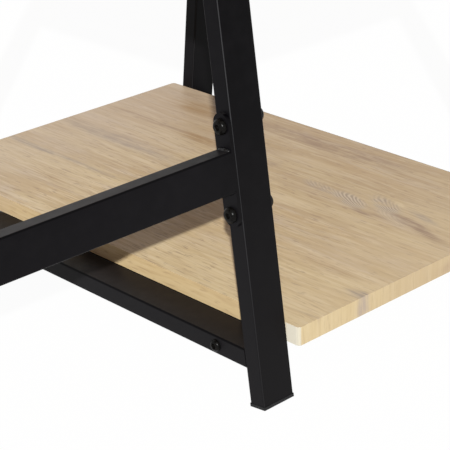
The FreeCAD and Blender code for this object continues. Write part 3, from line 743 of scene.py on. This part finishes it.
# Board, axis of its grain, marks, curls, and a seed that gives each its own pattern
BOARDS = [
    ("lower_shelf", "Y", LOWER_SHELF_MARKS, LOWER_SHELF_CURLS, 0.0),
    ("middle_shelf", "Y", (), (), 4.2),
    ("desk_top", "X", (), (), 8.6),
]


def paint(node, material):
    mesh = frame["nodes"][node].data
    for i in range(len(mesh.materials)):
        mesh.materials[i] = material


def paint_nodes():
    by_slot = {
        "black_tube": powder_coat("powder_coat"),
        "black_plastic": moulded_plastic("moulded_plastic"),
        "black_screw": blackened_steel("blackened_steel"),
        "zinc_steel": zinc("zinc"),
    }
    for entry in frame["record"]["subparts"]:
        if entry["material_slot"] in by_slot:
            paint(entry["node"], by_slot[entry["material_slot"]])
    for board, grain, marks, curls, seed in BOARDS:
        paint(board, oak(board, board, grain, marks, curls, False, seed))
        paint(f"{board}_edging", oak(f"{board}_edging", board, grain, marks, curls, True, seed))
    return by_slot


# Meshes

def skin(mesh, loops):
    """Joins loops of vertices into a closed solid."""
    count = len(loops[0])
    for near, far in zip(loops, loops[1:]):
        for i in range(count):
            j = (i + 1) % count
            mesh.faces.new((near[i], near[j], far[j], far[i]))
    mesh.faces.new(loops[0][::-1])
    mesh.faces.new(loops[-1])


def add_piece(name, mesh, material):
    """Turns a finished mesh into an object with smooth shading."""
    bmesh.ops.recalc_face_normals(mesh, faces=mesh.faces)
    data = bpy.data.meshes.new(name)
    mesh.to_mesh(data)
    mesh.free()
    data.materials.append(material)
    data.polygons.foreach_set("use_smooth", [True] * len(data.polygons))
    piece = bpy.data.objects.new(name, data)
    bpy.context.collection.objects.link(piece)
    return piece


# Fasteners: turned heads with a recess, in place of the plain ones

RING_POINTS = 48
DOME_STEPS = 6
BUTTON_EDGE = 0.3 * MM

# Edges are sharp from this many degrees on
SHARP_FROM = 35

# Points closer than this count as one, and those within this many head heights of an end as its head
SAME_POINT = 0.001 * MM
HEAD_MARGIN = 1.05


def circle_reach(angle, radius):
    """A circle's outline is equally far from its middle at every angle."""
    return radius


def hexagon_reach(angle, half_across):
    """Distance from the middle of a hexagon to its outline, in the direction of an angle."""
    sixth = math.pi / 3
    return half_across / math.cos((angle + sixth / 2) % sixth - sixth / 2)


CROSS_WAIST = 0.34
CROSS_BLUNTNESS = 3


def cross_reach(angle, reach):
    """Outline of a cross recess with four blunt wings."""
    wing = abs(math.cos(2 * angle)) ** CROSS_BLUNTNESS
    return reach * (CROSS_WAIST + (1 - CROSS_WAIST) * wing)


def turned_piece(mesh, outside, inside, recess, seat, way):
    """Adds a closed turned solid, of round rings outside and rings with the recess's outline inside.

    Both list radius and height, from the tip to the recess's bottom; the seat under the head is at 0.
    """
    turn = Vector((0, 0, 1)).rotation_difference(way).to_matrix()
    rings = [(radius, height, circle_reach) for radius, height in outside]
    rings += [(radius, height, recess) for radius, height in inside]
    loops = []
    for radius, height, outline in rings:
        loop = []
        for i in range(RING_POINTS):
            angle = 2 * math.pi * i / RING_POINTS
            reach = outline(angle, radius)
            point = Vector((reach * math.cos(angle), reach * math.sin(angle), height))
            loop.append(mesh.verts.new(seat + turn @ point))
        loops.append(loop)
    skin(mesh, loops)


def dome(rim, height, flat):
    """A button head's rim edge, dome and upper flat."""
    profile = [(rim - BUTTON_EDGE / 2, 0), (rim, BUTTON_EDGE)]
    for i in range(1, DOME_STEPS + 1):
        angle = math.pi / 2 * i / DOME_STEPS
        radius = flat + (rim - flat) * math.cos(angle)
        profile.append((radius, BUTTON_EDGE + (height - BUTTON_EDGE) * math.sin(angle)))
    return profile


def solids_of(node):
    """The corner points of each separate solid of a CAD group, in the order of its mesh."""
    work = bmesh.new()
    work.from_mesh(frame["nodes"][node].data)
    bmesh.ops.remove_doubles(work, verts=work.verts, dist=SAME_POINT)
    solids = []
    seen = set()
    for first in work.verts:
        if first in seen:
            continue
        seen.add(first)
        stack = [first]
        points = []
        while stack:
            vert = stack.pop()
            points.append(vert.co.copy())
            linked = [edge.other_vert(vert) for edge in vert.link_edges]
            fresh = [other for other in linked if other not in seen]
            seen.update(fresh)
            stack.extend(fresh)
        solids.append(points)
    work.free()
    return solids


def fastener_places(node, axis, head_height):
    """Seat and outward direction of each fastener of a CAD group. The wider end is its head."""
    ahead = Vector([float(i == axis) for i in range(3)])
    places = []
    for points in solids_of(node):
        low = Vector([min(point[i] for point in points) for i in range(3)])
        high = Vector([max(point[i] for point in points) for i in range(3)])
        middle = (low + high) / 2
        reach = {}
        for sign, end in ((-1, low[axis]), (1, high[axis])):
            near = [point - middle for point in points
                    if abs(point[axis] - end) < head_height * HEAD_MARGIN]
            reach[sign] = max((offset - offset[axis] * ahead).length for offset in near)
        sign = max(reach, key=reach.get)
        seat = middle.copy()
        seat[axis] = (high if sign > 0 else low)[axis] - sign * head_height
        places.append((seat, sign * ahead))
    return places


BOLT_RADIUS = 3 * MM
BOLT_POINT = 0.6 * MM
BOLT_FLAT_SHARE = 0.53
SOCKET_RADIUS = 2 * MM
SOCKET_CHAMFER = 0.25 * MM
SOCKET_DEPTH = 2 * MM
SOCKET_POINT_DEPTH = 2.6 * MM
SOCKET_POINT_RADIUS = 0.5 * MM

FRAME_HEAD_HEIGHT = 3 * MM
STRETCHER_HEAD_HEIGHT = 4 * MM

# Length under the head, head radius and head height
FRAME_BOLT = (40 * MM, 4.75 * MM, FRAME_HEAD_HEIGHT)
STRETCHER_BOLT = (30 * MM, 6 * MM, STRETCHER_HEAD_HEIGHT)


def socket(top, floor, point):
    """A chamfered socket, given by the heights of its top, its floor and the cone's point below that."""
    return [(SOCKET_RADIUS + SOCKET_CHAMFER, top), (SOCKET_RADIUS, top - SOCKET_CHAMFER),
            (SOCKET_RADIUS, floor), (SOCKET_POINT_RADIUS, point)]


def bolt(length, head_radius, head_height):
    outside = [(BOLT_RADIUS - BOLT_POINT, -length), (BOLT_RADIUS, BOLT_POINT - length), (BOLT_RADIUS, 0)]
    outside += dome(head_radius, head_height, head_radius * BOLT_FLAT_SHARE)
    return outside, socket(head_height, head_height - SOCKET_DEPTH, head_height - SOCKET_POINT_DEPTH)


SLEEVE_RADIUS = 4 * MM
SLEEVE_LENGTH = 12 * MM
SLEEVE_HEAD_RADIUS = 6 * MM
SLEEVE_HEAD_HEIGHT = 2.5 * MM
SLEEVE_HEAD_FLAT = 3.6 * MM
SLEEVE_CROWN = 1.5 * MM
SLEEVE_SOCKET_FLOOR = 1.2 * MM
SLEEVE_SOCKET_POINT = 0.8 * MM


def sleeve():
    top = SLEEVE_HEAD_HEIGHT + SLEEVE_CROWN
    outside = [(SLEEVE_RADIUS, -SLEEVE_LENGTH), (SLEEVE_RADIUS, 0)]
    outside += dome(SLEEVE_HEAD_RADIUS, top, SLEEVE_HEAD_FLAT)
    return outside, socket(top, SLEEVE_SOCKET_FLOOR, SLEEVE_SOCKET_POINT)


WOOD_SCREW_RADIUS = 2 * MM
WOOD_SCREW_LENGTH = 25 * MM
WOOD_SCREW_TIP = 3 * MM
WOOD_SCREW_POINT = 0.1 * MM
WOOD_HEAD_RADIUS = 4 * MM
WOOD_HEAD_HEIGHT = 2.5 * MM
WOOD_HEAD_FLAT = 2.6 * MM

# The cross recess: the reach of its wings, and the share of it at each depth below the head's top
CROSS_REACH = 2.1 * MM
CROSS_DEPTHS = [(1, 0), (0.9, 0.2 * MM), (0.35, 1.6 * MM)]


def wood_screw():
    outside = [(WOOD_SCREW_POINT, -WOOD_SCREW_LENGTH),
               (WOOD_SCREW_RADIUS, WOOD_SCREW_TIP - WOOD_SCREW_LENGTH), (WOOD_SCREW_RADIUS, 0)]
    outside += dome(WOOD_HEAD_RADIUS, WOOD_HEAD_HEIGHT, WOOD_HEAD_FLAT)
    return outside, [(CROSS_REACH * share, WOOD_HEAD_HEIGHT - depth) for share, depth in CROSS_DEPTHS]


def fasteners(name, node, axis, head_height, profiles, recess, material):
    mesh = bmesh.new()
    for seat, way in fastener_places(node, axis, head_height):
        turned_piece(mesh, *profiles, recess, seat, way)
    piece = add_piece(name, mesh, material)
    piece.data.set_sharp_from_angle(angle=math.radians(SHARP_FROM))
    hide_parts(node)
    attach(piece, BODY)


def add_fasteners(materials):
    frame_screws = [
        ("frame_screw_detail", "frame_screws", FRAME_HEAD_HEIGHT, bolt(*FRAME_BOLT)),
        ("stretcher_screw_detail", "stretcher_screws", STRETCHER_HEAD_HEIGHT, bolt(*STRETCHER_BOLT)),
        ("stretcher_nut_detail", "stretcher_nuts", SLEEVE_HEAD_HEIGHT, sleeve()),
    ]
    for name, node, head_height, profiles in frame_screws:
        fasteners(name, node, X_AXIS, head_height, profiles, hexagon_reach, materials["black_screw"])
    wood_screws = [("shelf_screw_detail", "shelf_screws"), ("desk_top_screw_detail", "desk_top_screws")]
    for name, node in wood_screws:
        fasteners(name, node, Z_AXIS, WOOD_HEAD_HEIGHT, wood_screw(), cross_reach, materials["zinc_steel"])


# Welds: rippled beads along the seams of the steel frame

# Radius of the beads
STRETCHER_BEAD = 2.3 * MM
FRAME_BEAD = 1.5 * MM

# Sides of the rings of their mesh, and the step from ring to ring
BEAD_SIDES = 8
BEAD_STEP = 0.8 * MM

# Lumps along a bead and the step of its ripples, then as shares of the radius the sizes of the lumps, the
# height of the ripples and the sideways wander, and the seed of the random draws
BEAD_LUMPS = 4
RIPPLE_STEP = 1.9 * MM
BEAD_SWELL = (0.86, 1.14)
RIPPLE_SHARE = 0.10
BEAD_WANDER = 0.06
BEAD_SEED = 7

# Over this many radii from its ends a bead thins along a sine, which is cut off at this angle
TAPER_RADII = 2
BLUNT_ANGLE = 0.25

# Seams stop short of the tubes' rounded corners, by so much on a level bar and on the stretcher
SEAM_CLEAR = 2 * MM
TUBE_CORNER = 1.5 * MM


def bead(mesh, start, end, radius, chance):
    """Adds one closed bead from start to end, its axis in the seam, with ripples, lumps and blunt ends."""
    along = end - start
    length = along.length
    along.normalize()
    side = along.orthogonal().normalized()
    other = along.cross(side)
    count = round(length / BEAD_STEP)
    taper_length = TAPER_RADII * radius
    swell = [chance.uniform(*BEAD_SWELL) for lump in range(BEAD_LUMPS)]
    loops = []
    for i in range(count + 1):
        share = i / count
        to_end = min(share, 1 - share) * length
        taper = 1
        if to_end < taper_length:
            taper = math.sin(math.pi / 2 * to_end / taper_length + BLUNT_ANGLE)
        lump = share * (BEAD_LUMPS - 1)
        first = min(int(lump), BEAD_LUMPS - 2)
        size = swell[first] + (swell[first + 1] - swell[first]) * (lump - first)
        ripple = 1 + RIPPLE_SHARE * math.sin(2 * math.pi * share * length / RIPPLE_STEP)
        reach = radius * taper * size * ripple
        wander = chance.uniform(-BEAD_WANDER, BEAD_WANDER)
        middle = start + along * (share * length) + side * wander * radius
        loop = []
        for k in range(BEAD_SIDES):
            angle = 2 * math.pi * k / BEAD_SIDES
            outwards = side * math.cos(angle) + other * math.sin(angle)
            loop.append(mesh.verts.new(middle + outwards * reach))
        loops.append(loop)
    skin(mesh, loops)


def tube_sizes():
    """Width and thickness of the frame's tube, which a level bar shows along X and upwards."""
    low, high = corner("middle_frame_lower_bar", 0, 0, 0), corner("middle_frame_lower_bar", 1, 0, 1)
    return high.x - low.x, high.z - low.z


def frame_lean():
    """The legs' lean, from a plate that leans with them and has round ends as wide as the tube is thick."""
    thickness = tube_sizes()[1]
    low, high = (Vector(end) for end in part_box("stretcher_left_plate"))
    return math.atan2(high.y - low.y - thickness, high.z - low.z - thickness)


def stretcher_seams(lean):
    """Upper and lower edge of the stretcher where it meets its end plates."""
    width, thickness = tube_sizes()
    low, high = (Vector(end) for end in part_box("stretcher_left_plate"))
    middle = (low + high) / 2
    up = Vector((0, -math.sin(lean), math.cos(lean)))
    out = Vector((0, math.cos(lean), math.sin(lean)))
    reach = out * (thickness / 2 - TUBE_CORNER)
    seams = []
    for x in (high.x, corner("stretcher_right_plate", 0, 0, 0).x):
        for way in (1, -1):
            edge = Vector((x, middle.y, middle.z)) + up * way * width / 2
            seams.append((edge - reach, edge + reach, STRETCHER_BEAD))
    return seams


def level_seam(low, high, y, z):
    """A seam along X across the width of a bar."""
    return Vector((low.x + SEAM_CLEAR, y, z)), Vector((high.x - SEAM_CLEAR, y, z)), FRAME_BEAD


def bar_seams(bar, lean):
    """The lower and upper edges at both ends of a level bar; its sides are ground flush with the legs."""
    low, high = (Vector(end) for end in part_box(bar))
    upper_y = high.y - (high.z - low.z) * math.tan(lean)
    seams = []
    for way in (1, -1):
        seams.append(level_seam(low, high, way * high.y, low.z))
        seams.append(level_seam(low, high, way * upper_y, high.z))
    return seams


def corner_seams(top_bar, lean):
    """The inner corners where a frame's legs meet its top bar."""
    low, high = (Vector(end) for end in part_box(top_bar))
    thickness = high.z - low.z
    inner = high.y + thickness * math.tan(lean) - thickness / math.cos(lean)
    return [level_seam(low, high, way * inner, low.z) for way in (1, -1)]


def add_welds(material):
    lean = frame_lean()
    seams = stretcher_seams(lean)
    for frame_name in ("left", "middle", "right"):
        seams += bar_seams(f"{frame_name}_frame_lower_bar", lean)
        seams += corner_seams(f"{frame_name}_frame_top_bar", lean)
    for frame_name in ("left", "middle"):
        seams += bar_seams(f"{frame_name}_frame_middle_bar", lean)
    chance = random.Random(BEAD_SEED)
    mesh = bmesh.new()
    for start, end, radius in seams:
        bead(mesh, start, end, radius, chance)
    piece = add_piece("weld_beads", mesh, material)
    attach(piece, BODY)


add_camera()
add_world()
add_sun()
add_floor()
slot_materials = paint_nodes()
add_fasteners(slot_materials)
add_welds(bead_coat("bead_coat"))
bpy.context.scene.view_settings.view_transform = "Standard"
